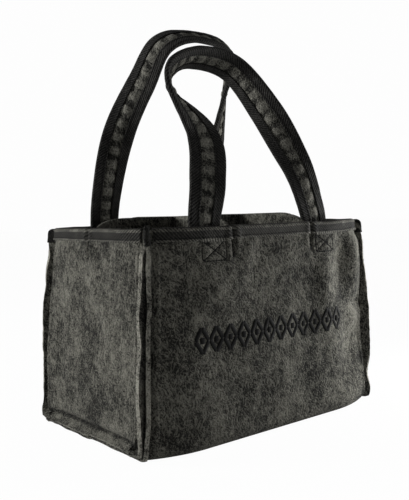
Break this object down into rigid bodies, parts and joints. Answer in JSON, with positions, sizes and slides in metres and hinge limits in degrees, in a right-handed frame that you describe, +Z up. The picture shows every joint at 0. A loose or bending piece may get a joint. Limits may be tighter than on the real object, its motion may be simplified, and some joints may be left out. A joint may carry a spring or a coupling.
{
  "type": "felt bottle carrier",
  "caption": "Soft felt carrier bag with dividers for half-litre bottles, a taped rim, sewn corner seams turned outwards and two twisted strap handles that swing outwards.",
  "frame": {"origin": "on the floor under the middle of the bag", "axes": "+X to the right along the long side, +Y to the back, +Z up; the front faces -Y"},
  "size_m": [0.2412, 0.1602, 0.3198],
  "materials": {
    "bag_felt": "mottled grey wool felt",
    "divider_felt": "mottled grey felt",
    "strap_felt": "mottled grey felt, stitched",
    "edge_tape": "dark twill tape"
  },
  "bodies": {
    "bag": {"front_base_back_felt": "bag_felt", "right_side_felt": "bag_felt", "left_side_felt": "bag_felt", "front_rim_tape": "edge_tape", "right_rim_tape": "edge_tape", "back_rim_tape": "edge_tape", "left_rim_tape": "edge_tape", "front_right_cap": "edge_tape", "front_left_cap": "edge_tape", "back_right_cap": "edge_tape", "back_left_cap": "edge_tape", "long_divider": "divider_felt", "right_cross_divider": "divider_felt", "left_cross_divider": "divider_felt", "front_handle_left_end_felt": "strap_felt", "front_handle_left_end_inner_tape": "edge_tape", "front_handle_left_end_outer_tape": "edge_tape", "front_handle_right_end_felt": "strap_felt", "front_handle_right_end_inner_tape": "edge_tape", "front_handle_right_end_outer_tape": "edge_tape", "rear_handle_left_end_felt": "strap_felt", "rear_handle_left_end_inner_tape": "edge_tape", "rear_handle_left_end_outer_tape": "edge_tape", "rear_handle_right_end_felt": "strap_felt", "rear_handle_right_end_inner_tape": "edge_tape", "rear_handle_right_end_outer_tape": "edge_tape"},
    "front_handle": {"front_handle_felt": "strap_felt", "front_handle_inner_tape": "edge_tape", "front_handle_outer_tape": "edge_tape"},
    "rear_handle": {"rear_handle_felt": "strap_felt", "rear_handle_inner_tape": "edge_tape", "rear_handle_outer_tape": "edge_tape"}
  },
  "joints": [
    {"name": "front_handle_swing", "type": "hinge", "parent": "bag", "child": "front_handle", "pos_m": [0, -0.0755, 0.153], "axis": [1, 0, 0], "range_deg": [0, 165]},
    {"name": "rear_handle_swing", "type": "hinge", "parent": "bag", "child": "rear_handle", "pos_m": [0, 0.0755, 0.153], "axis": [-1, 0, 0], "range_deg": [0, 165]}
  ]
}
